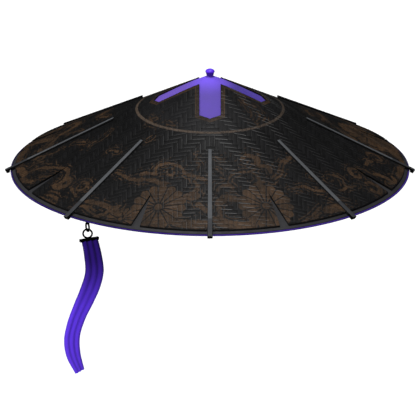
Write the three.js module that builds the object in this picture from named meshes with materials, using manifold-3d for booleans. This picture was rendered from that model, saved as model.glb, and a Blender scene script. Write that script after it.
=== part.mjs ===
// A wide conical travelling hat of a samurai: a woven and lacquered cover over a stiff band and a cloth
// lining, with eight ribs, a knob at the apex and a pleated ribbon that hangs below the rim at front left.
// Millimetres, +Z up, the front of the hat along -Y. The origin is where the crown of the head carries it.

import * as THREE from "three";
import { mergeVertices } from "three/addons/utils/BufferGeometryUtils.js";
import Module from "manifold-3d";

const wasm = await Module();
wasm.setup();

// Heights are above the rim plane, and the finished hat is lowered by HEAD_SEAT_HEIGHT.
const HEAD_SEAT_HEIGHT = 115;
const ROUND_STEPS = 64;
const TURN = 2 * Math.PI;

// The cone: the cover's top surface has a faint crease where the crown meets the skirt.
const APEX_HEIGHT = 129.65;
const CROWN_SLOPE = 0.514;
const SKIRT_SLOPE = 0.498;
const CREASE_RADIUS = 120;

// The layers, measured upright. SEAM leaves 0.3 mm between two of them, square to the slope.
const COVER_WALL = 2.25;
const BAND_WALL = 1.15;
const LINING_WALL = 1.15;
const SEAM = 0.34;
const BAND_DEPTH = COVER_WALL + SEAM;
const LINING_DEPTH_INSIDE = COVER_WALL + SEAM;
const LINING_DEPTH_OUTSIDE = BAND_DEPTH + BAND_WALL + SEAM;

const COVER_RADIUS = 244.3;
const BAND_INNER_RADIUS = 172.6;
const BAND_OUTER_RADIUS = 248.1;
const LINING_STEP_START = 163;
const LINING_STEP_END = 171;

// Over the crown the cover's wall is thinner, so its underside and the lining rise by this much.
const CROWN_RISE = 1;
const CROWN_RISE_RADIUS = 100;
const CROWN_RISE_FOOT_RADIUS = 118;

// The hem is the lining's rolled edge, an upright oval that closes over the band's outer edge.
const HEM_HALF_WIDTH = 0.95;
const HEM_HALF_HEIGHT = 1.5;
const HEM_CENTRE_RADIUS = 249.3;
const HEM_CENTRE_HEIGHT = 0.5;
const HEM_ANGLES_DEG = [-105, -65, -25, 15, 55, 95, 140];
const HEM_JOIN_BELOW = 0.4;
const HEM_JOIN_ABOVE = 0.1;

// The opening at the apex has four arms with pointed tips, to the front, the back and both sides.
const OPENING_HALF_WIDTH = 13.35;
const OPENING_SHOULDER = 64;
const OPENING_TIP = 70.3;
const CUT_CLEARANCE = 10;

const SLIT_COUNT = 8;
const SLIT_APEX_RADIUS = 192;
const SLIT_MOUTH = 11.8;

const RIB_COUNT = 8;
const RIB_INNER_RADIUS = 121.2;
const RIB_OUTER_RADIUS = 257.3;
const RIB_INNER_HEIGHT = 71.3;
const RIB_SLOPE = 0.5085;
const RIB_INNER_WIDTH = 4.4;
const RIB_OUTER_WIDTH = 6.2;
const RIB_HEEL_RADIUS = COVER_RADIUS + 0.35;
const RIB_HEEL_DROP = 1.4;
const RIB_HOOK_RADIUS = 250.7;
const RIB_HOOK_TIP_RADIUS = 254.3;
const RIB_HOOK_TIP_HEIGHT = -2.5;
const RIB_BEVEL = 0.5;

const KNOB_STEPS = 24;
const KNOB_FOOT_RADIUS = 4.15;
const KNOB_PROFILE = [
  { radius: 5.2, height: 130.4 },
  { radius: 5.8, height: 131.6 },
  { radius: 5.65, height: 132.7 },
  { radius: 4.5, height: 134.2 },
  { radius: 2.6, height: 135.1 },
  { radius: 0, height: 135.3 },
];

// The pendant hangs from an eye under the lining, on the line straight down from PENDANT_X, PENDANT_Y.
const PENDANT_X = -153.6;
const PENDANT_Y = -184.8;
const PENDANT_TURN = THREE.MathUtils.degToRad(27);
const UPPER_RING_RADIUS = 5.6;
const UPPER_RING_TURN = THREE.MathUtils.degToRad(84);
const LOWER_RING_RADIUS = 5.65;
const WIRE_RADIUS = 1.15;
const WIRE_STEPS = 6;
const RING_STEPS = 16;
const LINK_GAP = 0.3;
const UPPER_RING_HEIGHT = -10.7;
const LOWER_RING_HEIGHT =
  UPPER_RING_HEIGHT - UPPER_RING_RADIUS - LOWER_RING_RADIUS + 2 * WIRE_RADIUS + LINK_GAP;

const EYE_THICKNESS = 1;
const EYE_HALF_WIDTH = 2.4;
const EYE_CORNER = 0.8;
const EYE_SLOT_HALF_WIDTH = WIRE_RADIUS + LINK_GAP;
const EYE_PLATE = { length: 10, width: 5.4, height: 1.1 };

const BAR_LENGTH = 26.4;
const BAR_WIDTH = 3.6;
const BAR_HEIGHT = 3.7;
const BAR_SHIFT = 2.3;
const SOLDER_OVERLAP = 0.5;
const BAR_TOP = LOWER_RING_HEIGHT - LOWER_RING_RADIUS - WIRE_RADIUS + SOLDER_OVERLAP;

const RIBBON_WALL = 1.4;
const RIBBON_TOP_GAP = 0.3;
const RIBBON_PLEATS = 3;
const PLEAT_DEPTH = 1.2;
const RIBBON_STEPS_ACROSS = 18;
const RIBBON_STEPS_ALONG = 18;
const RIBBON_SECTIONS = [
  { drop: 0, x: -150.6, y: -183.4, width: 22.6, turnDeg: 27 },
  { drop: 20, x: -146.6, y: -181.6, width: 23.6, turnDeg: 23 },
  { drop: 43, x: -144.9, y: -179.0, width: 24.0, turnDeg: 14 },
  { drop: 65, x: -150.2, y: -178.0, width: 26.2, turnDeg: 17 },
  { drop: 86, x: -158.8, y: -180.0, width: 27.0, turnDeg: 24 },
  { drop: 106, x: -167.4, y: -184.0, width: 26.2, turnDeg: 32 },
  { drop: 127, x: -172.8, y: -189.0, width: 24.7, turnDeg: 37 },
  { drop: 148, x: -171.0, y: -193.0, width: 24.8, turnDeg: 47 },
  { drop: 169, x: -163.0, y: -196.0, width: 22.0, turnDeg: 61 },
];

const MATERIALS = {
  lacquer: { color: 0x252423, roughness: 0.55, metalness: 0 },
  grey: { color: 0x47474a, roughness: 0.6, metalness: 0 },
  rib: { color: 0x606266, roughness: 0.45, metalness: 0.2 },
  cloth: { color: 0x4a2fb4, roughness: 0.85, metalness: 0 },
  knob: { color: 0x5a35e0, roughness: 0.4, metalness: 0 },
  blackMetal: { color: 0x121212, roughness: 0.4, metalness: 0.8 },
};

// Height of the cover's top surface over the rim plane.
function coverTop(radius) {
  const crownPart = Math.min(radius, CREASE_RADIUS);
  return APEX_HEIGHT - CROWN_SLOPE * crownPart - SKIRT_SLOPE * (radius - crownPart);
}

// A closed outline in radius and height, turned about the upright axis.
function turned(outline, steps = ROUND_STEPS) {
  const points = outline.map(([radius, height]) => new THREE.Vector2(radius, height));
  return new THREE.LatheGeometry(points, steps).rotateX(Math.PI / 2);
}

// A line of points that follows the cover's top surface, a given depth below it.
function along(radii, depth) {
  return radii.map((radius) => [radius, coverTop(radius) - depth]);
}

// A flat outline extruded straight up from the ground plane.
function prism(points, height) {
  const shape = new THREE.Shape(points.map(([x, y]) => new THREE.Vector2(x, y)));
  return new THREE.ExtrudeGeometry(shape, { depth: height, bevelEnabled: false });
}

function asSolid(geometry) {
  const bare = geometry.clone();
  bare.deleteAttribute("normal");
  bare.deleteAttribute("uv");
  const merged = mergeVertices(bare, 1e-4);
  return new wasm.Manifold(
    new wasm.Mesh({
      numProp: 3,
      vertProperties: merged.attributes.position.array,
      triVerts: new Uint32Array(merged.index.array),
    }),
  );
}

function asGeometry(solid) {
  const { vertProperties, triVerts } = solid.getMesh();
  const geometry = new THREE.BufferGeometry();
  geometry.setAttribute("position", new THREE.BufferAttribute(vertProperties, 3));
  geometry.setIndex(new THREE.BufferAttribute(triVerts, 1));
  geometry.computeVertexNormals();
  return geometry;
}

function piece(name, geometry, material) {
  const mesh = new THREE.Mesh(geometry, new THREE.MeshStandardMaterial(MATERIALS[material]));
  mesh.name = name;
  return mesh;
}

// The rolled hem's outline, from below, round the outside, to the top.
function hemOutline() {
  return HEM_ANGLES_DEG.map((angleDeg) => {
    const angle = THREE.MathUtils.degToRad(angleDeg);
    return [
      HEM_CENTRE_RADIUS + HEM_HALF_WIDTH * Math.cos(angle),
      HEM_CENTRE_HEIGHT + HEM_HALF_HEIGHT * Math.sin(angle),
    ];
  });
}

// A line of points under the cover's top surface that rises with the thinner wall of the crown.
function underCrown(radii, depth) {
  const risen = (radius) =>
    THREE.MathUtils.mapLinear(radius, CROWN_RISE_FOOT_RADIUS, CROWN_RISE_RADIUS, 0, CROWN_RISE);
  return along(radii, depth).map(([radius, height]) => [
    radius,
    height + THREE.MathUtils.clamp(risen(radius), 0, CROWN_RISE),
  ]);
}

// Cloth under the whole cone, which drops a step to pass below the band.
function makeLining() {
  const inside = [LINING_STEP_START, CREASE_RADIUS, CROWN_RISE_FOOT_RADIUS, CROWN_RISE_RADIUS, 0];
  const hemLeft = HEM_CENTRE_RADIUS - HEM_HALF_WIDTH;
  return turned([
    ...underCrown([...inside].reverse(), LINING_DEPTH_INSIDE + LINING_WALL),
    ...along([LINING_STEP_END, hemLeft - HEM_JOIN_BELOW], LINING_DEPTH_OUTSIDE + LINING_WALL),
    ...hemOutline(),
    ...along([hemLeft + HEM_JOIN_ABOVE, LINING_STEP_END], LINING_DEPTH_OUTSIDE),
    ...underCrown(inside, LINING_DEPTH_INSIDE),
  ]);
}

function makeUnderBand() {
  const outline = [
    ...along([BAND_INNER_RADIUS, BAND_OUTER_RADIUS], BAND_DEPTH + BAND_WALL),
    ...along([BAND_OUTER_RADIUS, BAND_INNER_RADIUS], BAND_DEPTH),
  ];
  return turned([...outline, outline[0]]);
}

// The four-armed opening as a prism, each arm a quarter turn from the last.
function openingPrism() {
  const arm = [
    [OPENING_HALF_WIDTH, -OPENING_HALF_WIDTH],
    [OPENING_SHOULDER, -OPENING_HALF_WIDTH],
    [OPENING_TIP, 0],
    [OPENING_SHOULDER, OPENING_HALF_WIDTH],
  ];
  const outline = [0, 1, 2, 3].flatMap((quarter) => {
    const angle = (quarter * TURN) / 4;
    return arm.map(([x, y]) => [
      x * Math.cos(angle) - y * Math.sin(angle),
      x * Math.sin(angle) + y * Math.cos(angle),
    ]);
  });
  return prism(outline, APEX_HEIGHT + CUT_CLEARANCE);
}

// One V slit, which widens from its apex to the cover's edge and runs out past it.
function slitPrism(angle) {
  const end = COVER_RADIUS + CUT_CLEARANCE;
  const spread = SLIT_MOUTH / 2 / (COVER_RADIUS - SLIT_APEX_RADIUS);
  const halfWidth = spread * (end - SLIT_APEX_RADIUS);
  const outline = [
    [SLIT_APEX_RADIUS, 0],
    [end, -halfWidth],
    [end, halfWidth],
  ];
  return prism(outline, APEX_HEIGHT).rotateZ(angle);
}

function makeCover() {
  const underside = [0, CROWN_RISE_RADIUS, CROWN_RISE_FOOT_RADIUS, CREASE_RADIUS, COVER_RADIUS];
  const top = [COVER_RADIUS, CREASE_RADIUS, 0];
  const wall = turned([...underCrown(underside, COVER_WALL), ...along(top, 0)]);
  let solid = asSolid(wall).subtract(asSolid(openingPrism()));
  for (let i = 0; i < SLIT_COUNT; i += 1) {
    const angle = ((i + 0.5) * TURN) / SLIT_COUNT;
    solid = solid.subtract(asSolid(slitPrism(angle)));
  }
  return asGeometry(solid);
}

// A rib lies along +X: a side outline of unit width, then widened from its inner end to its tip. It steps
// down past the cover's edge, and its tip hooks over the hem.
function makeRib() {
  const top = (radius) => RIB_INNER_HEIGHT - RIB_SLOPE * (radius - RIB_INNER_RADIUS);
  const underside = (radius) => coverTop(radius) + SEAM;
  const outline = [
    [RIB_INNER_RADIUS, underside(RIB_INNER_RADIUS)],
    [RIB_HEEL_RADIUS, underside(RIB_HEEL_RADIUS)],
    [RIB_HEEL_RADIUS, underside(RIB_HEEL_RADIUS) - RIB_HEEL_DROP],
    [RIB_HOOK_RADIUS, underside(RIB_HOOK_RADIUS) - RIB_HEEL_DROP],
    [RIB_HOOK_RADIUS, RIB_HOOK_TIP_HEIGHT + RIB_SLOPE * (RIB_HOOK_TIP_RADIUS - RIB_HOOK_RADIUS)],
    [RIB_HOOK_TIP_RADIUS, RIB_HOOK_TIP_HEIGHT],
    [RIB_OUTER_RADIUS, top(RIB_OUTER_RADIUS)],
    [RIB_INNER_RADIUS, top(RIB_INNER_RADIUS)],
  ];
  const bevelShare = RIB_BEVEL / RIB_OUTER_WIDTH;
  const geometry = new THREE.ExtrudeGeometry(
    new THREE.Shape(outline.map(([radius, height]) => new THREE.Vector2(radius, height))),
    {
      depth: 1 - 2 * bevelShare,
      bevelThickness: bevelShare,
      bevelSize: RIB_BEVEL,
      bevelOffset: -RIB_BEVEL,
      bevelSegments: 1,
    },
  );
  geometry.translate(0, 0, bevelShare - 0.5).rotateX(Math.PI / 2);
  const place = geometry.attributes.position;
  for (let i = 0; i < place.count; i += 1) {
    const share = (place.getX(i) - RIB_INNER_RADIUS) / (RIB_OUTER_RADIUS - RIB_INNER_RADIUS);
    place.setY(i, place.getY(i) * THREE.MathUtils.lerp(RIB_INNER_WIDTH, RIB_OUTER_WIDTH, share));
  }
  return geometry;
}

// The knob's foot follows the lining's cone; its neck widens upwards to a cap with a rounded top.
function makeKnob() {
  const foot = underCrown([0, KNOB_FOOT_RADIUS], LINING_DEPTH_INSIDE - SEAM);
  const profile = KNOB_PROFILE.map(({ radius, height }) => [radius, height]);
  return turned([...foot, ...profile], KNOB_STEPS);
}

// A ring of round wire that stands upright in the XZ plane, its centre at a given height.
function ring(radius, height) {
  const torus = new THREE.TorusGeometry(radius, WIRE_RADIUS, WIRE_STEPS, RING_STEPS);
  return torus.rotateX(Math.PI / 2).translate(0, 0, height);
}

// A flat lug with a slot for the upper ring, joined to a plate that lies against the lining.
function makeRimEye() {
  const barTop = UPPER_RING_HEIGHT + UPPER_RING_RADIUS - WIRE_RADIUS - LINK_GAP;
  const barBottom = barTop - EYE_THICKNESS;
  const azimuth = Math.atan2(PENDANT_Y, PENDANT_X);
  const facetMiddle = Math.cos(Math.PI / ROUND_STEPS);
  const radius = Math.hypot(PENDANT_X, PENDANT_Y) / facetMiddle;
  const { length, width, height } = EYE_PLATE;
  const tilt = Math.atan(SKIRT_SLOPE);
  const plateTop = coverTop(radius) - LINING_DEPTH_OUTSIDE - LINING_WALL - SEAM;
  const slopeAcross = -SKIRT_SLOPE * Math.cos(azimuth - PENDANT_TURN);
  const plateMiddle = (x) => plateTop - height / 2 + slopeAcross * x;
  const plate = new THREE.BoxGeometry(length, width, height);
  plate.translate(0, 0, -height / 2).rotateY(tilt).rotateZ(azimuth - PENDANT_TURN);
  plate.translate(0, 0, plateTop);
  const lug = new THREE.Shape();
  lug.moveTo(-EYE_HALF_WIDTH, plateMiddle(-EYE_HALF_WIDTH));
  lug.lineTo(-EYE_HALF_WIDTH, barBottom + EYE_CORNER);
  lug.lineTo(-EYE_HALF_WIDTH + EYE_CORNER, barBottom);
  lug.lineTo(EYE_HALF_WIDTH - EYE_CORNER, barBottom);
  lug.lineTo(EYE_HALF_WIDTH, barBottom + EYE_CORNER);
  lug.lineTo(EYE_HALF_WIDTH, plateMiddle(EYE_HALF_WIDTH));
  const slotTop = plateMiddle(-EYE_SLOT_HALF_WIDTH) - height;
  const slot = new THREE.Path();
  slot.moveTo(-EYE_SLOT_HALF_WIDTH, barTop);
  slot.lineTo(EYE_SLOT_HALF_WIDTH, barTop);
  slot.lineTo(EYE_SLOT_HALF_WIDTH, slotTop);
  slot.lineTo(-EYE_SLOT_HALF_WIDTH, slotTop);
  lug.holes.push(slot);
  const body = new THREE.ExtrudeGeometry(lug, { depth: EYE_THICKNESS, bevelEnabled: false });
  body.translate(0, 0, -EYE_THICKNESS / 2).rotateX(Math.PI / 2);
  return asGeometry(asSolid(body).add(asSolid(plate)));
}

// The lower ring faces the front, and is soldered to a bar that is turned with the pendant.
function makeClampBar() {
  const bar = new THREE.BoxGeometry(BAR_LENGTH, BAR_WIDTH, BAR_HEIGHT);
  bar.translate(BAR_SHIFT, 0, BAR_TOP - BAR_HEIGHT / 2);
  const lowerRing = ring(LOWER_RING_RADIUS, LOWER_RING_HEIGHT).rotateZ(-PENDANT_TURN);
  return asGeometry(asSolid(lowerRing).add(asSolid(bar)));
}

// A corrugated strip of cloth, swept down smoothly through the sections of the table.
function makeRibbon() {
  const top = BAR_TOP - BAR_HEIGHT - RIBBON_TOP_GAP;
  const centres = new THREE.CatmullRomCurve3(
    RIBBON_SECTIONS.map(({ drop, x, y }) => new THREE.Vector3(x, y, top - drop)),
  );
  const forms = new THREE.CatmullRomCurve3(
    RIBBON_SECTIONS.map(({ width, turnDeg }) => new THREE.Vector3(width, turnDeg, 0)),
  );
  const geometry = new THREE.BoxGeometry(1, 1, 1, RIBBON_STEPS_ACROSS, 1, RIBBON_STEPS_ALONG);
  const place = geometry.attributes.position;
  for (let i = 0; i < place.count; i += 1) {
    const across = place.getX(i);
    const down = 0.5 - place.getZ(i);
    const centre = centres.getPoint(down);
    const form = forms.getPoint(down);
    const turn = THREE.MathUtils.degToRad(form.y);
    const side = across * form.x;
    const pleat = -PLEAT_DEPTH * Math.cos(TURN * RIBBON_PLEATS * across);
    const depth = pleat + place.getY(i) * RIBBON_WALL;
    place.setXYZ(
      i,
      centre.x + side * Math.cos(turn) - depth * Math.sin(turn),
      centre.y + side * Math.sin(turn) + depth * Math.cos(turn),
      centre.z,
    );
  }
  return geometry;
}

const hat = new THREE.Group();
hat.position.z = -HEAD_SEAT_HEIGHT;
hat.add(piece("lining", makeLining(), "cloth"));
hat.add(piece("under_band", makeUnderBand(), "grey"));
hat.add(piece("woven_cover", makeCover(), "lacquer"));
hat.add(piece("knob", makeKnob(), "knob"));

for (let i = 0; i < RIB_COUNT; i += 1) {
  const rib = piece(`rib_${i + 1}`, makeRib(), "rib");
  rib.rotation.z = (i * TURN) / RIB_COUNT - Math.PI / 2;
  hat.add(rib);
}

const pendant = new THREE.Group();
pendant.position.set(PENDANT_X, PENDANT_Y, 0);
pendant.rotation.z = PENDANT_TURN;
pendant.add(piece("rim_eye", makeRimEye(), "blackMetal"));
const upperRing = piece("upper_ring", ring(UPPER_RING_RADIUS, UPPER_RING_HEIGHT), "blackMetal");
upperRing.rotation.z = UPPER_RING_TURN;
pendant.add(upperRing);
pendant.add(piece("clamp_bar", makeClampBar(), "blackMetal"));
hat.add(pendant);
hat.add(piece("ribbon", makeRibbon(), "cloth"));

const part = new THREE.Group();
part.add(hat);
export default part;
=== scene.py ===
"""The looks of a wide conical samurai hat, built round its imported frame.

A lacquered cover of plaited strips with worn painted flowers lies over a grey band and a violet lining.
Eight ribs, a knob and a ribbon on two rings finish it. Sizes are in millimetres until a piece is placed,
and heights are above the rim plane.
"""

import functools
import math

import bmesh
import bpy
import numpy as np
from mathutils import Matrix, Vector


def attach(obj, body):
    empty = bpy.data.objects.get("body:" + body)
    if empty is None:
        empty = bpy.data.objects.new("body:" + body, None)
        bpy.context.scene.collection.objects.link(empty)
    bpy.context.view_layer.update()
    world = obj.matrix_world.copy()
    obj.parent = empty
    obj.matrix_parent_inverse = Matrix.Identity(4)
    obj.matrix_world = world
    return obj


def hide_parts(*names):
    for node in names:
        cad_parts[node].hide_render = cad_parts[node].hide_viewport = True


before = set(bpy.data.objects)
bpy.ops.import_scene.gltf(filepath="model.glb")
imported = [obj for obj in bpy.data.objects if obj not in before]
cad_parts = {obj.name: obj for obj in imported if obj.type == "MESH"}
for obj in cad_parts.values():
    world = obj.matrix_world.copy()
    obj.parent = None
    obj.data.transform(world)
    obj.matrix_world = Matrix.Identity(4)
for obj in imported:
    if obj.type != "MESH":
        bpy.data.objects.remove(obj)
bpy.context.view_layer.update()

MM = 0.001
SEAT_HEIGHT = 115
PLACE = Matrix.Translation((0, 0, -SEAT_HEIGHT * MM)) @ Matrix.Scale(MM, 4)

# The cone of the cover, with its faint crease, and the layers below it
APEX_HEIGHT = 129.65
CROWN_SLOPE = 0.514
SKIRT_SLOPE = 0.498
CREASE_RADIUS = 120
COVER_WALL = 2.25
BAND_WALL = 1.15
LINING_WALL = 1.15
SEAM = 0.34
BAND_DEPTH = COVER_WALL + SEAM
LINING_DEPTH_OUTSIDE = BAND_DEPTH + BAND_WALL + SEAM
COVER_RADIUS = 244.3
BAND_RADII = (172.6, 248.1)
BAND_ROUNDING = 0.5
BAND_EDGE_DROP = 0.12
LINING_STEP = (163, 171)
HEM_CENTRE = (249.3, 0.1)
HEM_HALF_SIZE = (0.95, 1.1)

# Over the crown the cover's wall is thinner, so its underside and the lining rise by this much
CROWN_RISE = 1.0
CROWN_RISE_RADIUS = 100
CROWN_RISE_FOOT_RADIUS = 118

# The four-armed opening and the slits of the cover
ARM_HALF_WIDTH = 13.35
ARM_SHOULDER = 64
ARM_TIP = 70.3
SLIT_COUNT = 8
SLIT_APEX = 192
SLIT_MOUTH = 11.8

# The plaiting: strips under three and over three, turned back along the middle line
STRIP_PITCH = 5.8
STRIP_GAP = 0.2
ROW_SHIFT = 0.43
STRIP_REACH = 43
STRIP_TOP = 0.12
STRIP_SHOULDER = 0.75
STRIP_SHOULDER_DROP = 0.17
STRIP_END = 1.5
STRIP_END_DROP = 0.22
STRIP_FOOT = 1.0
STRIP_MARGIN = 0.3
STRIP_COLUMNS = 4
STRIP_ROWS_PER_CELL = 8 / 3
BASE_DEPTH = 0.45
TURN_STEPS = 256
MERGE_DISTANCE = 1e-4

RIB_COUNT = 8
RIB_RADII = (121.2, 257.3)
RIB_WIDTHS = (4.4, 6.2)
RIB_INNER_HEIGHT = 70.7
RIB_SLOPE = 0.5085
RIB_HEEL_RADIUS = COVER_RADIUS + 0.35
RIB_HEEL_DROP = 1.4
RIB_SINK = 0.25
RIB_HOOK_RADIUS = 250.7
RIB_HOOK_TIP = (254.3, -2.5)
RIB_BEVEL = 0.55
RIB_FOOT_SPREAD = 1.1
# Past this radius the top of a rib is a darker grey
RIB_DARKER_RADIUS = 229
ROUNDING_STEPS = 3

KNOB_STEPS = 64
KNOB_FOOT_RADIUS = 4.15
KNOB_NECK = (5.2, 130.4)
KNOB_RIM = (5.85, 131.9)
KNOB_DOME_HEIGHT = 3.39
WIRE_RADIUS = 1.15
WIRE_SIDES = 14
WIRE_STEPS = 48
UPPER_RING = 5.6
LOWER_RING = 5.65
LINK_GAP = 0.02
UPPER_RING_HEIGHT = -10.7
LOWER_RING_HEIGHT = UPPER_RING_HEIGHT - UPPER_RING - LOWER_RING + 2 * WIRE_RADIUS + LINK_GAP
PENDANT_AT = (-153.6, -184.8)
PENDANT_TURN = math.radians(27)
UPPER_RING_TURN = math.radians(84)
BAR_SIZE = (26.4, 3.6, 3.7)
BAR_SHIFT = 2.3
BAR_BEVEL = 0.35
BAR_SOLDER = 0.5
BAR_TOP = LOWER_RING_HEIGHT - LOWER_RING - WIRE_RADIUS + BAR_SOLDER

RIBBON_WALL = 0.7
RIBBON_PLEATS = 3
PLEAT_DEPTH = 1.3
PLEAT_FADE = 0.55
RIBBON_COLUMNS = 60
RIBBON_ROWS = 120
RIBBON_SECTIONS = [
    {"drop": -1, "x": -150.6, "y": -183.4, "width": 22.6, "turn": 27},
    {"drop": 20, "x": -146.6, "y": -181.6, "width": 23.6, "turn": 23},
    {"drop": 43, "x": -144.9, "y": -179.0, "width": 24.0, "turn": 14},
    {"drop": 65, "x": -150.2, "y": -178.0, "width": 26.2, "turn": 17},
    {"drop": 86, "x": -158.8, "y": -180.0, "width": 27.0, "turn": 24},
    {"drop": 106, "x": -167.4, "y": -184.0, "width": 26.2, "turn": 32},
    {"drop": 127, "x": -172.8, "y": -189.0, "width": 24.7, "turn": 37},
    {"drop": 148, "x": -171.0, "y": -193.0, "width": 24.8, "turn": 47},
    {"drop": 169, "x": -163.0, "y": -196.0, "width": 22.0, "turn": 61},
]

# How far from a stroke the paint can tell its distance, and how a stroke narrows at its ends
PAINT_REACH = 12.0
STROKE_END_SHARE = 0.15
STROKE_END_WIDTH = 0.35
STROKE_STEPS = 5
SCROLL_STEPS = 22
SCROLL_INWARDS = 0.7

# The painted motifs on the front half, seen from above. The back half repeats them, turned half round.
# The side flower and the side strokes, further down, are on one side only.
FLOWERS = [
    {"at": (-65.0, -202.8), "radius": 36.0},
    {"at": (70.6, -200.0), "radius": 36.0},
    {"at": (-113.0, -211.0), "radius": 19.0},
]
SIDE_FLOWERS = [
    {"at": (197.0, 57.0), "radius": 38.0},
]
RING_LINE_RADIUS = 92.1
RING_LINE_HALF_WIDTH = 1.6
RING_LINE_SOFTNESS = 0.3

# The border of the opening: where its speckled band and its outline start and end, off the edge
BORDER_BAND = (0.8, 4.4)
BORDER_OUTLINE = (4.0, 5.6)
BORDER_SOFTNESS = 0.4

DISCS = [
    {"at": (-182, -110), "radius": 10.5, "hole": 2.5},
    {"at": (-161, -132), "radius": 8.0, "hole": 4.5},
    {"at": (127, -131), "radius": 4.0, "hole": 0.0},
    {"at": (150, -124), "radius": 5.0, "hole": 2.5},
    {"at": (-70, -50), "radius": 5.0, "hole": 3.0},
]
SCROLLS = [
    {"at": (-214, -16), "radius": 10, "width": 4.5, "start": 150, "turn": -290},
    {"at": (184, -89), "radius": 12, "width": 5.5, "start": 70, "turn": 330},
    {"at": (206, -106), "radius": 12, "width": 6.5, "start": 160, "turn": -330},
    {"at": (208, -19), "radius": 12, "width": 5.5, "start": 210, "turn": -330},
    {"at": (52, -132), "radius": 11, "width": 4.0, "start": 200, "turn": -300},
    {"at": (-48, -150), "radius": 7, "width": 3.5, "start": 120, "turn": 280},
]


def stroke(start_width, end_width, *points):
    """One brush stroke: its widths at both ends, and the plan points that it passes through."""
    return {"widths": (start_width, end_width), "points": points}


STROKES = [
    stroke(3, 8, (-122, -123), (-112, -133), (-103, -144), (-92, -151), (-80, -154)),
    stroke(7, 7, (-80, -154), (-70, -158), (-62, -165), (-52, -166)),
    stroke(6, 5, (-88, -142), (-75, -145), (-66, -150)),
    stroke(4, 5, (-67, -150), (-68, -139), (-60, -134), (-52, -134), (-42, -139), (-33, -148)),
    stroke(5, 6, (-33, -148), (-30, -155), (-22, -158), (-12, -163), (0, -168)),
    stroke(7, 9, (-158, -160), (-145, -170), (-133, -180), (-122, -192), (-112, -207)),
    stroke(3, 4, (-160, -168), (-150, -176), (-143, -188)),
    stroke(5, 7, (-146, -194), (-135, -196), (-125, -191), (-110, -188)),
    stroke(3, 3, (-170, -163), (-158, -172), (-150, -186), (-138, -200)),
    stroke(12, 9, (-30, -190), (-22, -193), (-14, -190)),
    stroke(4, 9, (-22, -165), (-16, -174), (-18, -183), (-26, -187)),
    stroke(3, 3, (-15, -124), (-19, -134), (-13, -142), (-17, -152)),
    stroke(13, 15, (-46, -231), (-25, -235), (-2, -236)),
    stroke(7, 8, (-17, -203), (-10, -209), (-2, -217)),
    stroke(15, 14, (4, -226), (22, -235), (42, -236), (57, -232)),
    stroke(13, 11, (9, -204), (20, -194), (36, -196)),
    stroke(4, 8, (9, -186), (12, -178), (21, -173), (30, -178)),
    stroke(7, 6, (10, -206), (13, -222), (11, -240)),
    stroke(3, 3, (5, -129), (13, -133), (21, -131)),
    stroke(3, 3, (4, -148), (12, -152), (18, -160)),
    stroke(5, 5, (38, -135), (43, -125), (52, -121), (60, -124), (62, -133)),
    stroke(5, 6, (58, -138), (65, -135), (75, -134), (75, -145)),
    stroke(3, 3, (72, -160), (80, -148), (86, -138), (88, -125), (93, -113), (103, -104)),
    stroke(3, 3, (76, -160), (85, -149), (91, -138), (92, -126), (98, -113), (105, -106)),
    stroke(3, 5, (22, -170), (25, -160), (32, -154), (42, -150), (50, -148), (58, -141)),
    stroke(5, 5, (50, -149), (58, -152), (62, -160), (58, -168)),
    stroke(8, 5, (55, -168), (70, -160)),
    stroke(3, 6, (97, -166), (110, -157), (120, -152), (132, -154), (146, -148)),
    stroke(4, 5, (144, -117), (155, -112), (165, -113), (172, -125), (186, -113)),
    stroke(5, 4, (172, -125), (168, -134), (160, -138)),
    stroke(3, 4, (110, -222), (124, -206), (134, -190), (140, -178)),
    stroke(3, 3, (118, -218), (130, -204), (141, -190)),
    stroke(12, 14, (144, -186), (156, -176), (168, -168)),
    stroke(5, 3, (150, -160), (160, -158), (178, -152)),
    stroke(12, 10, (240, -12), (240, -30), (236, -48)),
    stroke(5, 6, (205, -34), (198, -43), (196, -56)),
    stroke(7, 8, (205, -70), (220, -65), (232, -72)),
    stroke(6, 5, (224, -80), (232, -64), (228, -52)),
    stroke(4, 4, (188, -72), (196, -70), (204, -73)),
    stroke(8, 10, (-242, -8), (-236, -28), (-232, -48)),
    stroke(4, 6, (-240, -42), (-225, -42), (-212, -46), (-203, -55), (-192, -66)),
    stroke(6, 5, (-192, -66), (-181, -78), (-178, -90), (-183, -100)),
    stroke(3, 3, (-214, -34), (-204, -42), (-196, -52)),
    stroke(8, 7, (-237, -50), (-231, -63), (-223, -74)),
    stroke(4, 5, (-230, -30), (-217, -25), (-207, -31)),
    stroke(5, 4, (-215, -68), (-206, -76), (-198, -80)),
    stroke(4, 3, (-206, -12), (-196, -18), (-186, -15)),
    stroke(8, 6, (-195, -104), (-193, -112), (-188, -119)),
    stroke(7, 8, (-219, -117), (-210, -127), (-202, -139), (-196, -150)),
    stroke(5, 5, (-206, -119), (-197, -129), (-191, -143)),
    stroke(4, 3, (-176, -120), (-171, -138), (-166, -154)),
    stroke(3, 3, (-168, -122), (-158, -122), (-152, -130), (-154, -142)),
    stroke(3, 4, (-172, -17), (-163, -22), (-155, -33)),
    stroke(2.5, 1.5, (-154, -48), (-146, -41), (-138, -42), (-124, -30)),
    stroke(3, 4, (-127, -79), (-120, -82), (-115, -89)),
    stroke(1.2, 1.6, (-78, -86), (-72, -83)),
    stroke(3, 3, (38, -27), (42, -31), (45, -37)),
    stroke(4, 6, (44, -36), (51, -33), (59, -31)),
    stroke(3, 2, (47, -39), (52, -49), (50, -59)),
    stroke(3, 2, (58, -39), (62, -49), (58, -61)),
    stroke(2, 2, (64, -37), (69, -47), (66, -56)),
    stroke(3, 2, (-56, -67), (-48, -72), (-41, -75)),
    stroke(3, 2, (-76, -40), (-72, -58), (-62, -66)),
]

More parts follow.
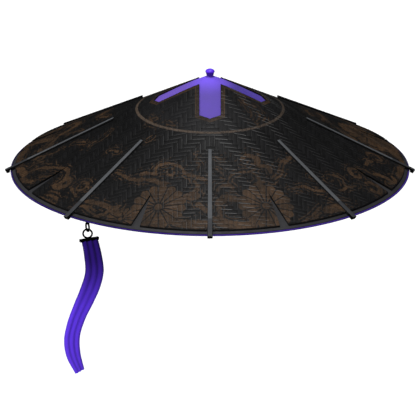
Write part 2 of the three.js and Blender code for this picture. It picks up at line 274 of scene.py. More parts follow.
# Further strokes at both sides, behind the middle, which aren't repeated
SIDE_STROKES = [
    stroke(8, 12, (-172, 100), (-166, 82), (-166, 66), (-176, 53), (-190, 47)),
    stroke(14, 12, (-214, 66), (-208, 56), (-198, 46)),
    stroke(12, 13, (-241, 16), (-238, 34), (-231, 52)),
    stroke(10, 8, (-222, 80), (-205, 96), (-184, 107)),
    stroke(7, 11, (-142, 52), (-134, 66), (-127, 82)),
    stroke(6, 5, (-138, 46), (-134, 36), (-128, 26)),
    stroke(6, 7, (-192, 44), (-196, 30), (-206, 14)),
    stroke(4, 5, (-180, 34), (-168, 26), (-158, 16)),
    stroke(8, 6, (134, 84), (140, 66), (144, 48), (140, 34)),
    stroke(5, 5, (122, 62), (121, 48), (126, 34)),
    stroke(14, 10, (228, 54), (228, 36), (236, 16)),
    stroke(8, 9, (158, 30), (170, 18), (184, 12)),
]


def cone_top(radius):
    """The height of the cover's top surface over the rim plane."""
    crown_part = min(radius, CREASE_RADIUS)
    return APEX_HEIGHT - CROWN_SLOPE * crown_part - SKIRT_SLOPE * (radius - crown_part)


def along_cone(radii, depth):
    """Points of radius and height that follow the cover's top, a given depth below it."""
    return [(radius, cone_top(radius) - depth) for radius in radii]


def crown_rise(radius):
    """How much the underside of the cover and the lining rise where the wall is thinner."""
    return float(np.interp(radius, (CROWN_RISE_RADIUS, CROWN_RISE_FOOT_RADIUS), (CROWN_RISE, 0)))


def spread(start, end, steps):
    """Evenly spread values from start to end, both included."""
    return [start + (end - start) * step / steps for step in range(steps + 1)]


# The radii of the corners of whatever follows the underside of the crown
CROWN_RADII = [
    *spread(ARM_HALF_WIDTH, CROWN_RISE_RADIUS, 7),
    *spread(CROWN_RISE_RADIUS, CROWN_RISE_FOOT_RADIUS, 2)[1:],
    CREASE_RADIUS,
]


# Mesh helpers


def full_spin(bm, geom, centre, axis, steps):
    """Sweeps an outline once round an axis and closes it."""
    bmesh.ops.spin(
        bm, geom=geom, cent=centre, axis=axis, angle=math.tau, steps=steps, use_merge=True
    )
    bmesh.ops.remove_doubles(bm, verts=bm.verts, dist=MERGE_DISTANCE)


def turned(outline, steps=TURN_STEPS):
    """A shape made of (radius, height) points, turned about the upright axis."""
    bm = bmesh.new()
    corners = [bm.verts.new((radius, 0, height)) for radius, height in outline]
    edges = [bm.edges.new(pair) for pair in zip(corners, corners[1:])]
    full_spin(bm, corners + edges, (0, 0, 0), (0, 0, 1), steps)
    return bm


def grown(bm, faces):
    """Extrudes faces, without moving them yet, and gives the points of the copy."""
    made = bmesh.ops.extrude_face_region(bm, geom=faces)["geom"]
    return {item for item in made if isinstance(item, bmesh.types.BMVert)}


def round_edges(bm, edges, offset):
    """Rounds the given edges."""
    bmesh.ops.bevel(
        bm,
        geom=edges,
        offset=offset,
        offset_type="OFFSET",
        segments=ROUNDING_STEPS,
        profile=0.5,
        affect="EDGES",
        clamp_overlap=True,
        material=-1,
    )


def sharpen(bm, angle):
    """Keeps every edge that turns by more than the angle as a crisp one."""
    for edge in bm.edges:
        edge.smooth = len(edge.link_faces) == 2 and edge.calc_face_angle(0) < math.radians(angle)


def new_object(name, bm, material):
    """Puts a finished shape in the scene."""
    mesh = bpy.data.meshes.new(name)
    bm.to_mesh(mesh)
    bm.free()
    mesh.materials.append(material)
    made = bpy.data.objects.new(name, mesh)
    bpy.context.scene.collection.objects.link(made)
    return made


def piece(name, bm, material, slot, *nodes, crisp_angle=40):
    """Places a finished shape on the frame as the piece that stands for these nodes."""
    bmesh.ops.recalc_face_normals(bm, faces=bm.faces)
    sharpen(bm, crisp_angle)
    bmesh.ops.transform(bm, matrix=PLACE, verts=bm.verts)
    for face in bm.faces:
        face.smooth = True
    made = new_object(name, bm, material)
    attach(made, "root")
    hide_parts(*nodes)
    return made


def cut_out(bm, corners):
    """Cuts a convex region, its corners given anticlockwise, out of flat sheets."""
    reach = max(math.dist(a, b) for a in corners for b in corners) / 2
    middle = Vector([sum(c[k] for c in corners) / len(corners) for k in (0, 1)])
    near = [f for f in bm.faces if (f.calc_center_median().to_2d() - middle).length < reach + 25]
    geom = set(near) | {e for f in near for e in f.edges} | {v for f in near for v in f.verts}
    sides = list(zip(corners, corners[1:] + corners[:1]))
    for start, end in sides:
        outwards = (end[1] - start[1], start[0] - end[0], 0)
        cut = bmesh.ops.bisect_plane(
            bm, geom=list(geom), dist=MERGE_DISTANCE, plane_co=(*start, 0), plane_no=outwards
        )
        geom = set(cut["geom"])
    inside = [
        face
        for face in geom
        if isinstance(face, bmesh.types.BMFace)
        and all(
            (face.calc_center_median().x - a[0]) * (b[1] - a[1])
            < (face.calc_center_median().y - a[1]) * (b[0] - a[0])
            for a, b in sides
        )
    ]
    bmesh.ops.delete(bm, geom=inside, context="FACES")


def rotated(points, angle):
    """Plan points turned about the axis."""
    turn = Matrix.Rotation(angle, 2)
    return [tuple(turn @ Vector(point)) for point in points]


def openings(margin):
    """The convex regions that the cover leaves open, each widened by a margin."""
    width = ARM_HALF_WIDTH + margin
    shoulder = ARM_SHOULDER + margin * 0.6
    tip = ARM_TIP + margin * 1.1
    half_bar = [(-tip, 0), (-shoulder, -width), (shoulder, -width)]
    bar = half_bar + [(-x, -y) for x, y in half_bar]
    end = COVER_RADIUS + 8
    flare = SLIT_MOUTH / 2 / (COVER_RADIUS - SLIT_APEX)
    half_mouth = flare * (end - SLIT_APEX) + margin
    slit = [(SLIT_APEX - margin * 3, 0), (end, -half_mouth), (end, half_mouth)]
    slits = [rotated(slit, (i + 0.5) * math.tau / SLIT_COUNT) for i in range(SLIT_COUNT)]
    return [bar, rotated(bar, math.tau / 4), *slits]


# Plaited cover


def lengthwise_on_top(i, j):
    """Whether the front-to-back strip is on top in cell i, j. The slant turns back at the middle line."""
    mirrored = i if i < 0 else -1 - i
    return (j - mirrored + 1) % 6 < 3


def floats(lengthwise):
    """Each stretch where a strip lies on top: its strip number, its first cell and its cell count."""
    for strip in range(-STRIP_REACH, STRIP_REACH):
        start = None
        for cell in range(-STRIP_REACH, STRIP_REACH + 1):
            i, j = (strip, cell) if lengthwise else (cell, strip)
            shown = cell < STRIP_REACH and lengthwise_on_top(i, j) == lengthwise
            if shown and start is None:
                start = cell
            if not shown and start is not None:
                yield strip, start, cell - start
                start = None


def shouldered(share, segments, margin):
    """Moves an even grid's rows, from -1 to 1, so that the outer inner ones lie a margin from the ends."""
    inner = 1 - 2 / segments
    if abs(share) > inner + 1e-4:
        return share
    return share * (1 - margin) / inner


def float_sheet(bm, layers, centre, turn, half_length):
    """One float as a flat grid, with its across and end distances kept on its points."""
    half_width = (STRIP_PITCH - STRIP_GAP) / 2
    rows = max(4, 2 * round(half_length / STRIP_PITCH * STRIP_ROWS_PER_CELL))
    grid = bmesh.ops.create_grid(bm, x_segments=STRIP_COLUMNS, y_segments=rows, size=1)["verts"]
    for vert in grid:
        across = shouldered(vert.co.x, STRIP_COLUMNS, STRIP_SHOULDER / half_width) * half_width
        along = shouldered(vert.co.y, rows, STRIP_END / half_length) * half_length
        vert[layers["across"]] = across
        vert[layers["end_gap"]] = half_length - abs(along)
        vert.co = (across, along, 0)
    place = Matrix.Translation((*centre, 0)) @ Matrix.Rotation(turn, 4, "Z")
    bmesh.ops.transform(bm, matrix=place, verts=grid)
    return grid


def plaited_strips(lengthwise):
    """All the floats of one direction as closed slips of wood that follow the cone."""
    bm = bmesh.new()
    layers = {key: bm.verts.layers.float.new(key) for key in ("across", "end_gap", "foot")}
    edge = COVER_RADIUS - STRIP_MARGIN
    for strip, start, count in floats(lengthwise):
        half_length = (count * STRIP_PITCH - STRIP_GAP) / 2
        middle = (start + count / 2) * STRIP_PITCH
        side = (strip + 0.5) * STRIP_PITCH
        if lengthwise:
            centre = Vector((side, middle + ROW_SHIFT * STRIP_PITCH))
        else:
            centre = Vector((middle, side + ROW_SHIFT * STRIP_PITCH))
        if centre.length - half_length > edge:
            continue
        grid = float_sheet(bm, layers, centre, 0 if lengthwise else math.pi / 2, half_length)
        if max(vert.co.to_2d().length for vert in grid) > edge:
            faces = {face for vert in grid for face in vert.link_faces}
            lines = {line for face in faces for line in face.edges}
            outwards = centre.normalized().to_3d()
            bmesh.ops.bisect_plane(
                bm,
                geom=[*grid, *lines, *faces],
                dist=MERGE_DISTANCE,
                plane_co=outwards * edge,
                plane_no=outwards,
                clear_outer=True,
            )
    for region in openings(STRIP_MARGIN):
        cut_out(bm, region)
    top_points = grown(bm, bm.faces[:])
    shoulder = (STRIP_PITCH - STRIP_GAP) / 2 - STRIP_SHOULDER
    for vert in bm.verts:
        level = -STRIP_FOOT
        if vert in top_points:
            edge_share = max(0, abs(vert[layers["across"]]) - shoulder) / STRIP_SHOULDER
            end_share = max(0, 1 - vert[layers["end_gap"]] / STRIP_END)
            level = STRIP_TOP - STRIP_SHOULDER_DROP * edge_share**1.6 - STRIP_END_DROP * end_share
        else:
            vert[layers["foot"]] = 1
        vert.co.z = cone_top(vert.co.to_2d().length) + level
    bottoms = [face for face in bm.faces if not any(vert in top_points for vert in face.verts)]
    bmesh.ops.dissolve_faces(bm, faces=bottoms, use_verts=False)
    return bm


def cover_base():
    """The wall under the strips, cut for the opening and the slits."""
    radii = CROWN_RADII + spread(CREASE_RADIUS, COVER_RADIUS, 8)[1:]
    bm = turned([(radius, 0) for radius in radii])
    for region in openings(0):
        cut_out(bm, region)
    top_points = grown(bm, bm.faces[:])
    for vert in bm.verts:
        radius = vert.co.to_2d().length
        depth = BASE_DEPTH if vert in top_points else COVER_WALL - crown_rise(radius)
        vert.co.z = cone_top(radius) - depth
    return bm


# Painting


def smooth_value(a, b, c, d, share):
    """The value a share of the way from b to c, on a smooth curve through all four."""
    slope = c - a
    bend = 2 * a - 5 * b + 4 * c - d
    swing = 3 * b - a - 3 * c + d
    return 0.5 * (2 * b + slope * share + bend * share**2 + swing * share**3)


def smooth_line(points):
    """Points on a smooth curve through the given plan points."""
    padded = [np.array(point, float) for point in (points[0], *points, points[-1])]
    line = []
    for four in zip(padded, padded[1:], padded[2:], padded[3:]):
        line += [smooth_value(*four, step / STROKE_STEPS) for step in range(STROKE_STEPS)]
    return np.array([*line, padded[-1]])


def scroll_line(scroll):
    """Points on a spiral that winds inwards round its centre."""
    shares = np.linspace(0, 1, SCROLL_STEPS)
    angles = np.radians(scroll["start"] + scroll["turn"] * shares)
    radii = scroll["radius"] * (1 - SCROLL_INWARDS * shares)
    return np.array(scroll["at"]) + radii[:, None] * np.column_stack((np.cos(angles), np.sin(angles)))


def paint_distance(places):
    """How far each plan place lies outside the nearest brush stroke, negative inside it."""
    folded = np.where(places[:, 1:] > 0, -places, places)
    nearest = np.full(len(places), PAINT_REACH)
    lines = [(folded, scroll_line(scroll), (scroll["width"], scroll["width"])) for scroll in SCROLLS]
    for plan, strokes in ((folded, STROKES), (places, SIDE_STROKES)):
        lines += [(plan, smooth_line(row["points"]), row["widths"]) for row in strokes]
    for disc in DISCS:
        reach = np.linalg.norm(folded - disc["at"], axis=1)
        nearest = np.minimum(nearest, np.maximum(reach - disc["radius"], disc["hole"] - reach))
    for plan, line, widths in lines:
        shares = np.linspace(0, 1, len(line))
        from_end = np.minimum(shares, 1 - shares)
        swell = np.interp(from_end, (0, STROKE_END_SHARE), (STROKE_END_WIDTH, 1))
        half = 0.5 * np.interp(shares, (0, 1), widths) * swell
        margin = PAINT_REACH + 2
        low, high = line.min(0) - margin, line.max(0) + margin
        near = np.flatnonzero(((plan > low) & (plan < high)).all(1))
        spots = plan[near]
        for a, b, wide_a, wide_b in zip(line, line[1:], half, half[1:]):
            step = b - a
            t = np.clip((spots - a) @ step / (step @ step), 0, 1)
            gap = np.linalg.norm(spots - a - t[:, None] * step, axis=1) - wide_a - t * (wide_b - wide_a)
            nearest[near] = np.minimum(nearest[near], gap)
    return nearest


def add_paint(strips):
    """Keeps the distance to the painting on each point of the strips, and none on their sides and feet."""
    mesh = strips.data
    co = np.empty(len(mesh.vertices) * 3, np.float32)
    mesh.vertices.foreach_get("co", co)
    foot = np.empty(len(mesh.vertices), np.float32)
    mesh.attributes["foot"].data.foreach_get("value", foot)
    gap = paint_distance(co.reshape(-1, 3)[:, :2].astype(float) / MM)
    gap[foot > 0.5] = PAINT_REACH
    mesh.attributes.new("paint", "FLOAT", "POINT").data.foreach_set("value", gap.astype(np.float32))


# Lining, band, ribs and knob


def arc(centre, half_size, start, end, steps):
    """Points of radius and height on an ellipse, from one angle to another, 0 degrees being outwards."""
    angles = [math.radians(angle) for angle in spread(start, end, steps)]
    return [(centre[0] + half_size[0] * math.cos(a), centre[1] + half_size[1] * math.sin(a)) for a in angles]


def under_crown(radii, depth):
    """Points under the cover's top that rise with the thinner wall of the crown."""
    return [(radius, height + crown_rise(radius)) for radius, height in along_cone(radii, depth)]


def lining_body():
    """Cloth under the whole cone, which drops a step to pass below the band and rolls over its edge."""
    inside = [0, 3, *CROWN_RADII, *spread(CREASE_RADIUS, LINING_STEP[0], 4)[1:]]
    outside = spread(LINING_STEP[1], HEM_CENTRE[0] - HEM_HALF_SIZE[0] - 0.4, 8)
    outline = [
        *under_crown(inside, BAND_DEPTH + LINING_WALL),
        *along_cone(outside, LINING_DEPTH_OUTSIDE + LINING_WALL),
        *arc(HEM_CENTRE, HEM_HALF_SIZE, -105, 140, 14),
        *along_cone([outside[-1] + 0.5, *outside[-2::-1]], LINING_DEPTH_OUTSIDE),
        *under_crown(inside[::-1], BAND_DEPTH),
    ]
    return turned(outline)


def band_body():
    """The stiff ring, its outer edge rounded."""
    inner, outer = BAND_RADII
    flat_end = outer - BAND_ROUNDING
    middle = cone_top(flat_end) - BAND_DEPTH - BAND_WALL / 2 - BAND_EDGE_DROP
    outline = [
        *along_cone(spread(inner, flat_end, 8), BAND_DEPTH + BAND_WALL),
        *arc((flat_end, middle), (BAND_ROUNDING, BAND_WALL / 2), -45, 45, 2),
        *along_cone(spread(flat_end, inner, 8), BAND_DEPTH),
    ]
    return turned([*outline, outline[0]])


def rib_body(angle):
    """A slim bar laid on the cover, widening outwards and downwards, whose heel hooks over the hem."""
    inner, outer = RIB_RADII
    top = [(radius, RIB_INNER_HEIGHT - RIB_SLOPE * (radius - inner)) for radius in spread(outer, inner, 12)]
    foot = along_cone([inner, CREASE_RADIUS + 60, RIB_HEEL_RADIUS], RIB_SINK)
    over_hem = along_cone([RIB_HEEL_RADIUS, RIB_HOOK_RADIUS], RIB_HEEL_DROP - SEAM)
    hook_top = RIB_HOOK_TIP[1] + RIB_SLOPE * (RIB_HOOK_TIP[0] - RIB_HOOK_RADIUS)
    heel = [*over_hem, (RIB_HOOK_RADIUS, hook_top), RIB_HOOK_TIP]
    bm = bmesh.new()
    side = bm.faces.new([bm.verts.new((radius, -0.5, height)) for radius, height in foot + heel + top])
    bmesh.ops.translate(bm, vec=(0, 1, 0), verts=list(grown(bm, [side])))
    for vert in bm.verts:
        share = (vert.co.x - inner) / (outer - inner)
        over_foot = RIB_INNER_HEIGHT - RIB_SLOPE * (vert.co.x - inner) - vert.co.z > 0.1
        vert.co.y *= RIB_WIDTHS[0] + share * (RIB_WIDTHS[1] - RIB_WIDTHS[0])
        vert.co.y *= RIB_FOOT_SPREAD if over_foot else 1
    bmesh.ops.recalc_face_normals(bm, faces=bm.faces)
    corners = [edge for edge in bm.edges if edge.calc_face_angle(0) > math.radians(30)]
    round_edges(bm, corners, RIB_BEVEL)
    bmesh.ops.rotate(bm, cent=(0, 0, 0), matrix=Matrix.Rotation(angle, 3, "Z"), verts=bm.verts)
    return bm


def knob_body():
    """A turned knob: a neck that stands on the lining and widens upwards, and a rounded cap."""
    rim, rim_height = KNOB_RIM
    outline = [
        *under_crown([0, 2, KNOB_FOOT_RADIUS], BAND_DEPTH - SEAM),
        KNOB_NECK,
        (rim - 0.2, rim_height - 0.7),
        (rim - 0.04, rim_height - 0.3),
        *arc((0, rim_height), (rim, KNOB_DOME_HEIGHT), 0, 80, 8),
        (0, rim_height + KNOB_DOME_HEIGHT),
    ]
    return turned(outline, KNOB_STEPS)


# Rings, bar and ribbon


def pendant_place(height, turn):
    """The place of a piece that hangs on the pendant's own line, turned about it."""
    return Matrix.Translation((*PENDANT_AT, height)) @ Matrix.Rotation(turn, 4, "Z")


def add_wire_ring(bm, radius, height, turn):
    """A ring of round wire that stands upright, facing the front before its turn."""
    place = pendant_place(height, turn)
    section = place @ Matrix.Translation((radius, 0, 0))
    circle = bmesh.ops.create_circle(bm, segments=WIRE_SIDES, radius=WIRE_RADIUS, matrix=section)["verts"]
    loop = {edge for vert in circle for edge in vert.link_edges}
    axis = place.to_3x3() @ Vector((0, 1, 0))
    full_spin(bm, [*circle, *loop], place.translation, axis, WIRE_STEPS)


def upper_ring_body():
    """The ring that goes through the eye under the rim."""
    bm = bmesh.new()
    add_wire_ring(bm, UPPER_RING, UPPER_RING_HEIGHT, PENDANT_TURN + UPPER_RING_TURN)
    return bm


def clamp_body():
    """The lower ring, soldered to the bar that clamps the ribbon."""
    bm = bmesh.new()
    place = pendant_place(BAR_TOP - BAR_SIZE[2] / 2, PENDANT_TURN)
    to_size = Matrix.Translation((BAR_SHIFT, 0, 0)) @ Matrix.Diagonal((*BAR_SIZE, 1))
    bmesh.ops.create_cube(bm, size=1, matrix=place @ to_size)
    round_edges(bm, bm.edges[:], BAR_BEVEL)
    add_wire_ring(bm, LOWER_RING, LOWER_RING_HEIGHT, 0)
    return bm


def ribbon_form(down):
    """The ribbon's section at a share of its length, smooth between the rows of the table."""
    last = len(RIBBON_SECTIONS) - 1
    first = min(int(down * last), last - 1)
    rows = [RIBBON_SECTIONS[min(max(first + step, 0), last)] for step in (-1, 0, 1, 2)]
    share = down * last - first
    return {key: smooth_value(*[row[key] for row in rows], share) for key in rows[0]}


def ribbon_body():
    """A pleated strip of cloth, swept down through its sections."""
    bm = bmesh.new()
    bmesh.ops.create_grid(bm, x_segments=RIBBON_COLUMNS, y_segments=RIBBON_ROWS, size=0.5)
    lengthwise = bm.verts.layers.float.new("down")
    groove = bm.verts.layers.float.new("groove")
    top = BAR_TOP - BAR_SIZE[2]
    for vert in bm.verts:
        across, down = vert.co.x, 0.5 - vert.co.y
        form = ribbon_form(down)
        turn = math.radians(form["turn"])
        side = across * form["width"]
        ridge = math.cos(math.tau * RIBBON_PLEATS * across)
        depth = -PLEAT_DEPTH * ridge * (1 - PLEAT_FADE * down)
        vert[lengthwise] = down
        vert[groove] = 0.5 - 0.5 * ridge
        vert.co = (
            form["x"] + side * math.cos(turn) - depth * math.sin(turn),
            form["y"] + side * math.sin(turn) + depth * math.cos(turn),
            top - form["drop"],
        )
    bmesh.ops.recalc_face_normals(bm, faces=bm.faces)
    bmesh.ops.solidify(bm, geom=bm.faces[:], thickness=RIBBON_WALL)
    return bm


# Materials


class Graph:
    """Adds shader nodes to a tree and joins them."""

    def __init__(self, tree):
        self.tree = tree

    def give(self, socket, value):
        """Joins a value to a socket, or sets it there."""
        if isinstance(value, bpy.types.NodeSocket):
            self.tree.links.new(value, socket)
        else:
            socket.default_value = value

    def add(self, kind, inputs, **settings):
        made = self.tree.nodes.new(kind)
        for key, value in settings.items():
            setattr(made, key, value)
        for key, value in inputs.items():
            self.give(made.inputs[key], value)
        return made

    def math(self, operation, *values):
        return self.add("ShaderNodeMath", dict(enumerate(values)), operation=operation).outputs[0]

    def times(self, *values):
        return functools.reduce(lambda a, b: self.math("MULTIPLY", a, b), values)

    def most(self, *values):
        return functools.reduce(lambda a, b: self.math("MAXIMUM", a, b), values)

    def scaled(self, value, factor, offset):
        return self.math("MULTIPLY_ADD", value, factor, offset)

    def off(self, value, middle):
        """How far a value lies from another, to either side."""
        return self.math("ABSOLUTE", self.math("SUBTRACT", value, middle))

    def reach(self, x, y):
        return self.math("SQRT", self.math("ADD", self.times(x, x), self.times(y, y)))

    def rise(self, value, low, high, to_low=0.0, to_high=1.0):
        """Goes smoothly from one result to another while the value goes from low to high."""
        inputs = {"Value": value, "From Min": low, "From Max": high, "To Min": to_low, "To Max": to_high}
        made = self.add("ShaderNodeMapRange", inputs, interpolation_type="SMOOTHSTEP", clamp=True)
        return made.outputs["Result"]

    def fall(self, value, low, high, start=1.0):
        """Goes smoothly from a start to 0 while the value goes from low to high."""
        return self.rise(value, low, high, start, 0.0)

    def blend(self, share, first, second):
        made = self.add("ShaderNodeMix", {"Factor": share}, data_type="RGBA")
        for socket, value in zip([s for s in made.inputs if s.type == "RGBA"], (first, second)):
            self.give(socket, value)
        return next(s for s in made.outputs if s.type == "RGBA")

    def noise(self, vector, scale, detail=2.0, roughness=0.5):
        inputs = {"Vector": vector, "Scale": scale, "Detail": detail, "Roughness": roughness}
        return self.add("ShaderNodeTexNoise", inputs).outputs["Fac"]

    def attribute(self, name):
        return self.add("ShaderNodeAttribute", {}, attribute_name=name).outputs["Fac"]

    def object_place(self):
        return self.add("ShaderNodeTexCoord", {}).outputs["Object"]

    def parts(self, vector):
        return self.add("ShaderNodeSeparateXYZ", {"Vector": vector}).outputs

    def scaled_vector(self, vector, factor):
        inputs = {0: vector, "Scale": factor}
        return self.add("ShaderNodeVectorMath", inputs, operation="SCALE").outputs["Vector"]

    def group(self, name, inputs):
        return self.add("ShaderNodeGroup", inputs, node_tree=bpy.data.node_groups[name]).outputs

    def wear(self, place, patch=50.0, speck=900.0):
        return self.group("Worn patches", {"Place": place, "Patch": patch, "Speck": speck})["Wear"]


def srgb(red, green, blue):
    """A colour given as 0 to 255 screen values, as the linear colour that a shader wants."""
    scaled = [value / 255 for value in (red, green, blue)]
    return (*[v / 12.92 if v <= 0.04045 else ((v + 0.055) / 1.055) ** 2.4 for v in scaled], 1.0)


def new_group(name, inputs, outputs):
    """An empty node group with float inputs, a vector named Place and float outputs."""
    tree = bpy.data.node_groups.new(name, "ShaderNodeTree")
    tree.interface.new_socket("Place", in_out="INPUT", socket_type="NodeSocketVector")
    for key, value in inputs.items():
        tree.interface.new_socket(key, in_out="INPUT", socket_type="NodeSocketFloat").default_value = value
    for key in outputs:
        tree.interface.new_socket(key, in_out="OUTPUT", socket_type="NodeSocketFloat")
    graph = Graph(tree)
    return graph, graph.add("NodeGroupInput", {}).outputs, graph.add("NodeGroupOutput", {}).inputs


PETAL_COUNT = 16


def make_flower_group():
    """A chrysanthemum in plan: round-ended petals, fine inner spokes and a ringed centre."""
    inputs = {"Centre X": 0, "Centre Y": 0, "Radius": 36}
    graph, given, result = new_group("Chrysanthemum", inputs, ["Petals"])
    plan = graph.parts(given["Place"])
    x, y = (graph.math("SUBTRACT", plan[axis], given["Centre " + axis]) for axis in "XY")
    reach = graph.reach(x, y)
    share = graph.math("DIVIDE", reach, given["Radius"])
    turns = graph.math("DIVIDE", graph.math("ARCTAN2", y, x), math.tau)
    phase = graph.math("FRACT", graph.scaled(turns, PETAL_COUNT, PETAL_COUNT))
    petal = graph.math("SUBTRACT", 0.5, graph.off(phase, 0.5))
    petal_gap = graph.times(petal, math.tau / PETAL_COUNT, reach)
    lobe = graph.math("SQRT", graph.times(petal, 2.0))
    inside = graph.rise(graph.math("SUBTRACT", graph.scaled(lobe, 0.16, 0.84), share), -0.006, 0.02)
    petals = graph.times(inside, graph.rise(petal_gap, 0.45, 0.95))
    spokes = graph.times(graph.fall(share, 0.4, 0.55), graph.fall(petal_gap, 0.6, 1.35))
    ring = graph.times(graph.rise(share, 0.14, 0.155), graph.fall(share, 0.18, 0.2))
    body = graph.times(petals, graph.math("SUBTRACT", 1.0, graph.most(spokes, ring)))
    graph.give(result["Petals"], graph.most(body, graph.fall(share, 0.13, 0.15)))


def make_border_group():
    """The ring line round the crown, and the speckled band and its outline round the opening."""
    graph, given, result = new_group("Painted borders", {}, ["Ring", "Frame"])
    plan = graph.parts(given["Place"])
    x, y = (graph.math("ABSOLUTE", plan[axis]) for axis in "XY")
    off_ring = graph.off(graph.reach(x, y), RING_LINE_RADIUS)
    slope = (ARM_TIP - ARM_SHOULDER) / ARM_HALF_WIDTH

    def arm_distance(along, across):
        end = graph.math("SUBTRACT", graph.scaled(across, slope, along), ARM_TIP)
        return graph.most(graph.math("SUBTRACT", across, ARM_HALF_WIDTH), graph.times(end, 0.9))

    off = graph.math("MINIMUM", arm_distance(x, y), arm_distance(y, x))

    def between(start, end):
        rise = graph.rise(off, start, start + BORDER_SOFTNESS)
        return graph.times(rise, graph.fall(off, end - BORDER_SOFTNESS, end))

    speckle = graph.rise(graph.noise(given["Place"], 0.9, 2.0, 0.6), 0.38, 0.6, 0.3, 0.9)
    band = graph.times(between(*BORDER_BAND), speckle)
    edges = (RING_LINE_HALF_WIDTH - RING_LINE_SOFTNESS, RING_LINE_HALF_WIDTH + RING_LINE_SOFTNESS)
    graph.give(result["Ring"], graph.fall(off_ring, *edges))
    graph.give(result["Frame"], graph.most(between(*BORDER_OUTLINE), band))


def make_cloth_group():
    """A plain weave in two directions: a height for bump and a faint thread shade."""
    graph, given, result = new_group("Plain weave", {"Threads": 900.0}, ["Height", "Shade"])
    counted = graph.parts(graph.scaled_vector(given["Place"], given["Threads"]))
    waves = [graph.math("SINE", graph.times(counted[axis], math.tau)) for axis in "XYZ"]
    cross = graph.times(waves[0], graph.math("ADD", waves[1], waves[2]))
    graph.give(result["Height"], graph.scaled(cross, 0.5, 0.5))
    graph.give(result["Shade"], graph.rise(graph.noise(given["Place"], 60.0, 4.0, 0.6), 0.3, 0.7))


def make_wear_group():
    """Uneven wear: broad patches broken up by fine specks."""
    graph, given, result = new_group("Worn patches", {"Patch": 30.0, "Speck": 400.0}, ["Wear"])
    broad = graph.times(graph.noise(given["Place"], given["Patch"], 3.0, 0.6), 0.55)
    fine = graph.times(graph.noise(given["Place"], given["Speck"], 2.0, 0.7), 0.45)
    graph.give(result["Wear"], graph.rise(graph.math("ADD", broad, fine), 0.35, 0.65))


def new_material(name):
    """A material and the graph that adds to it, with the shader at hand."""
    material = bpy.data.materials.new(name)
    material.use_nodes = True
    graph = Graph(material.node_tree)
    graph.shader = next(node for node in graph.tree.nodes if node.type == "BSDF_PRINCIPLED")
    return material, graph


def finish(graph, colour, wear, rough, relief, **fixed):
    """Gives a surface its colour, a roughness that follows its wear, its fine relief and fixed values."""
    height, depth, strength = relief
    bump = graph.add("ShaderNodeBump", {"Height": height, "Strength": strength, "Distance": depth})
    fixed["Base_Color"] = colour
    fixed["Roughness"] = graph.rise(wear, 0.0, 1.0, *rough)
    fixed["Normal"] = bump.outputs["Normal"]
    for key, value in fixed.items():
        graph.give(graph.shader.inputs[key.replace("_", " ")], value)


def plan_reach(graph, place):
    """The distance from the hat's axis, in the unit of the place."""
    plan = graph.parts(place)
    return graph.reach(plan["X"], plan["Y"])


def painted_flowers(graph, in_mm):
    """A mask of all the chrysanthemums, those of the front half repeated behind."""
    front = graph.math("SIGN", graph.times(graph.parts(in_mm)["Y"], -1.0))
    folded = graph.scaled_vector(in_mm, front)
    blooms = []
    for plan, flowers in ((folded, FLOWERS), (in_mm, SIDE_FLOWERS)):
        for flower in flowers:
            x, y = flower["at"]
            given = {"Place": plan, "Centre X": x, "Centre Y": y, "Radius": flower["radius"]}
            blooms.append(graph.group("Chrysanthemum", given)["Petals"])
    return graph.most(*blooms)


def painted_strokes(graph, place):
    """A mask of the brushwork: ragged strokes, with broken hairlines and specks beside them."""
    gap = graph.attribute("paint")
    ragged = graph.scaled(graph.noise(place, 420.0, 4.0, 0.65), 2.6, -1.3)
    patches = graph.scaled(graph.noise(place, 130.0, 3.0, 0.65), 6.5, -3.2)
    frayed = graph.math("ADD", graph.math("ADD", gap, ragged), patches)
    hairline = graph.math("ABSOLUTE", graph.math("ADD", gap, graph.scaled(patches, 0.5, -3.4)))
    broken = graph.rise(graph.noise(place, 75.0, 2.0), 0.47, 0.54)
    speck = graph.rise(graph.noise(place, 330.0, 2.0), 0.6, 0.66)
    return graph.most(
        graph.fall(frayed, -0.5, 0.3),
        graph.times(graph.fall(hairline, 0.45, 0.85, 0.9), broken),
        graph.times(speck, graph.fall(gap, 5.0, 12.0, 0.9)),
    )


# Where the finish of the crown passes into that of the skirt, and where the painted edge highlights and
# painted edge shade fade to either side
CROWN_FADE = (75.0, 105.0)
LEFT_FADE = (-110.0, 5.0)
RIGHT_FADE = (40.0, 115.0)


def painted_edge_light(graph, place, in_mm, lengthwise, off_crown):
    """Masks of a painted highlight along one edge of each strip and of painted shade along its other edge.

    They are strongest at the middle of the front. Each direction of strips is calmer on the crown, on its
    own side.
    """
    x = graph.parts(in_mm)["X"]
    across = graph.attribute("across")
    towards_light = across if lengthwise else graph.times(across, -1.0)
    clear_of_ends = graph.rise(graph.attribute("end_gap"), 0.3, 1.6)
    if lengthwise:
        side = graph.times(graph.scaled(off_crown, 0.65, 0.35), graph.rise(x, 0.0, 45.0, 0.6, 0.25))
    else:
        calm_left = graph.most(off_crown, graph.rise(x, -5.0, 20.0, 0.35, 1.0))
        side = graph.times(calm_left, graph.rise(x, -40.0, 20.0, 0.4, 1.0))
    left_fade = graph.rise(x, *LEFT_FADE, 0.14, 1.0)
    right_fade = graph.rise(x, *RIGHT_FADE, 1.0, 0.22)
    strength = graph.times(side, left_fade, right_fade)
    patchy = graph.rise(graph.noise(place, 25.0, 2.0), 0.35, 0.65, 0.4, 1.0)
    # Painted highlight on the strip edge that faces the light, and painted shade along the opposite edge
    edge_highlight = graph.times(graph.rise(towards_light, 2.25, 2.5), clear_of_ends, strength, patchy)
    shaded = graph.times(graph.fall(towards_light, -2.3, -1.5), strength, 0.5)
    return edge_highlight, shaded


